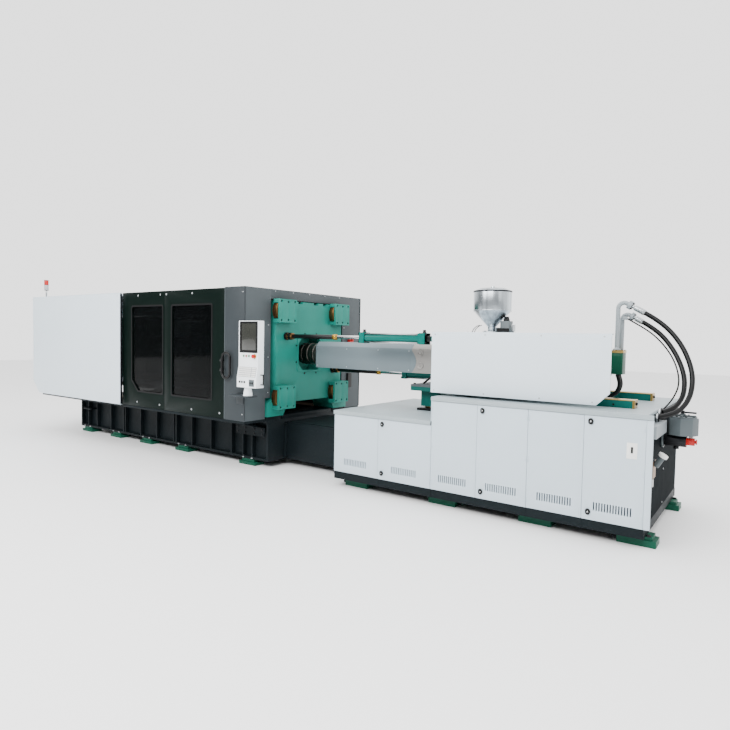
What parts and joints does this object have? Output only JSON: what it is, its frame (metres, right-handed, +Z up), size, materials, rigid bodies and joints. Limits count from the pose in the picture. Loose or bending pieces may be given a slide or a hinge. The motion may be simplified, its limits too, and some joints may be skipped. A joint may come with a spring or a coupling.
{
  "type": "injection moulding machine",
  "caption": "Horizontal injection moulding machine: guarded clamp unit with sliding doors, moving platen, injection carriage, hopper and cabinet base.",
  "frame": {"origin": "on the floor, under the middle of the machine's bounding box", "axes": "+X from the clamp end towards the injection end, +Y away from the operator's side, +Z up"},
  "size_m": [9.782, 2.509, 2.536],
  "materials": {
    "white_paint": "semi-gloss powder coat",
    "door_paint": "satin dark grey-green",
    "tinted_pane": "tinted, glossy",
    "grey_paint": "satin mid grey",
    "bed_paint": "satin blue-black",
    "green_paint": "semi-gloss sea green",
    "foot_paint": "semi-gloss green",
    "bronze": "dull bronze",
    "bright_steel": "ground and polished",
    "dark_steel": "blackened",
    "machined_steel": "brushed",
    "stainless": "brushed stainless",
    "cover_paint": "satin light grey",
    "top_paint": "satin pale grey",
    "panel_paint": "semi-gloss white",
    "screen": "glossy dark olive-grey",
    "red_button": "glossy red",
    "green_button": "glossy green",
    "black_plastic": "glossy black",
    "white_plastic": "matt white",
    "fitting_paint": "satin light grey",
    "hose_rubber": "smooth black",
    "cast_grey": "painted grey casting"
  },
  "bodies": {
    "machine": {"base_feet": "foot_paint", "base_frame": "white_paint", "base_panels": "white_paint", "base_tops": "top_paint", "bed_extension": "bed_paint", "bed_pads": "foot_paint", "carriage_rods": "bright_steel", "clamp_bed": "bed_paint", "clamp_cylinder": "green_paint", "cylinder_platen": "green_paint", "fixed_platen": "green_paint", "guard_deck": "grey_paint", "guard_frame": "grey_paint", "guide_rails": "green_paint", "hood_panels": "white_paint", "hose_lower": "hose_rubber", "hose_upper": "hose_rubber", "lifting_hooks": "bed_paint", "nut_boxes": "green_paint", "panel_bracket": "panel_paint", "pedestal": "green_paint", "signal_cable": "hose_rubber", "signal_light": "red_button", "socket_screws": "dark_steel", "tank_fittings": "fitting_paint", "tie_bar_nuts": "bronze", "tie_bars": "bright_steel", "wear_rails": "bronze"},
    "front_door": {"front_door": "door_paint", "front_window": "tinted_pane"},
    "rear_door": {"rear_door": "door_paint", "rear_window": "tinted_pane"},
    "moving_platen": {"moving_platen": "green_paint", "clamp_ram": "bright_steel"},
    "operator_panel": {"panel_case": "panel_paint", "panel_screen": "screen"},
    "emergency_stop": {"panel_stop": "red_button"},
    "push_button_1": {"panel_button_1": "green_button"},
    "push_button_2": {"panel_button_2": "red_button"},
    "push_button_3": {"panel_button_3": "green_button"},
    "carriage": {"barrel": "dark_steel", "barrel_covers": "cover_paint", "injection_housing": "green_paint", "motor_block": "cast_grey", "supply_pipes": "fitting_paint", "injection_cover": "white_paint", "hopper": "stainless", "carriage_cylinders": "green_paint", "motor_hoses": "hose_rubber"},
    "screw": {"screw": "machined_steel"},
    "hopper_lid": {"hopper_lid": "machined_steel"},
    "main_switch": {"main_switch": "black_plastic"},
    "filter_handle": {"filter_handle": "fitting_paint"},
    "filler_cap": {"filler_cap": "white_plastic"},
    "cabinet_door_1": {"cabinet_door_1": "white_paint"},
    "cabinet_door_2": {"cabinet_door_2": "white_paint"},
    "cabinet_door_3": {"cabinet_door_3": "white_paint"},
    "cabinet_door_4": {"cabinet_door_4": "white_paint"},
    "cabinet_door_5": {"cabinet_door_5": "white_paint"},
    "cabinet_door_6": {"cabinet_door_6": "white_paint"}
  },
  "joints": [
    {"name": "front_door_slide", "type": "slide", "parent": "machine", "child": "front_door", "axis": [-1, 0, 0], "range_m": [0, 2.1]},
    {"name": "rear_door_slide", "type": "slide", "parent": "machine", "child": "rear_door", "axis": [-1, 0, 0], "range_m": [0, 2.1]},
    {"name": "clamp_stroke", "type": "slide", "parent": "machine", "child": "moving_platen", "axis": [-1, 0, 0], "range_m": [-0.2, 0.75]},
    {"name": "panel_swivel", "type": "hinge", "parent": "machine", "child": "operator_panel", "pos_m": [0.436, -1.1755, 1], "axis": [0, 0, 1], "range_deg": [0, 80]},
    {"name": "emergency_stop_press", "type": "slide", "parent": "operator_panel", "child": "emergency_stop", "axis": [0, 1, 0], "range_m": [0, 0.005], "stiffness_N_per_m": 400},
    {"name": "push_button_1_press", "type": "slide", "parent": "operator_panel", "child": "push_button_1", "axis": [0, 1, 0], "range_m": [0, 0.004], "stiffness_N_per_m": 200},
    {"name": "push_button_2_press", "type": "slide", "parent": "operator_panel", "child": "push_button_2", "axis": [0, 1, 0], "range_m": [0, 0.004], "stiffness_N_per_m": 200},
    {"name": "push_button_3_press", "type": "slide", "parent": "operator_panel", "child": "push_button_3", "axis": [0, 1, 0], "range_m": [0, 0.004], "stiffness_N_per_m": 200},
    {"name": "carriage_stroke", "type": "slide", "parent": "machine", "child": "carriage", "axis": [1, 0, 0], "range_m": [0, 0.32], "deforming": ["hose_upper", "hose_lower", "signal_cable"]},
    {"name": "screw_turn", "type": "hinge", "parent": "carriage", "child": "screw", "pos_m": [2.136, 0.0495, 1.437], "axis": [1, 0, 0], "continuous": true},
    {"name": "lid_hinge", "type": "hinge", "parent": "carriage", "child": "hopper_lid", "pos_m": [2.901, 0.2545, 2.1904], "axis": [-1, 0, 0], "range_deg": [0, 100]},
    {"name": "cabinet_door_1_hinge", "type": "hinge", "parent": "machine", "child": "cabinet_door_1", "pos_m": [1.4375, -0.8045, 0.5], "axis": [0, 0, 1], "range_deg": [-110, 0]},
    {"name": "cabinet_door_2_hinge", "type": "hinge", "parent": "machine", "child": "cabinet_door_2", "pos_m": [2.6615, -0.8045, 0.5], "axis": [0, 0, 1], "range_deg": [0, 110]},
    {"name": "cabinet_door_3_hinge", "type": "hinge", "parent": "machine", "child": "cabinet_door_3", "pos_m": [2.6645, -0.8045, 0.5], "axis": [0, 0, 1], "range_deg": [-110, 0]},
    {"name": "cabinet_door_4_hinge", "type": "hinge", "parent": "machine", "child": "cabinet_door_4", "pos_m": [3.6385, -0.8045, 0.5], "axis": [0, 0, 1], "range_deg": [0, 110]},
    {"name": "cabinet_door_5_hinge", "type": "hinge", "parent": "machine", "child": "cabinet_door_5", "pos_m": [3.6415, -0.8045, 0.5], "axis": [0, 0, 1], "range_deg": [-110, 0]},
    {"name": "cabinet_door_6_hinge", "type": "hinge", "parent": "machine", "child": "cabinet_door_6", "pos_m": [4.6005, -0.8045, 0.5], "axis": [0, 0, 1], "range_deg": [0, 110]},
    {"name": "main_switch_rock", "type": "hinge", "parent": "cabinet_door_6", "child": "main_switch", "pos_m": [4.5005, -0.8005, 0.802], "axis": [1, 0, 0], "range_deg": [-8, 8]},
    {"name": "filter_handle_turn", "type": "hinge", "parent": "machine", "child": "filter_handle", "pos_m": [4.766, -0.1005, 1.064], "axis": [0, 0, 1], "continuous": true},
    {"name": "filler_cap_turn", "type": "hinge", "parent": "machine", "child": "filler_cap", "pos_m": [4.678, -0.5105, 0.7235], "axis": [0.5, 0, 0.866], "continuous": true}
  ]
}
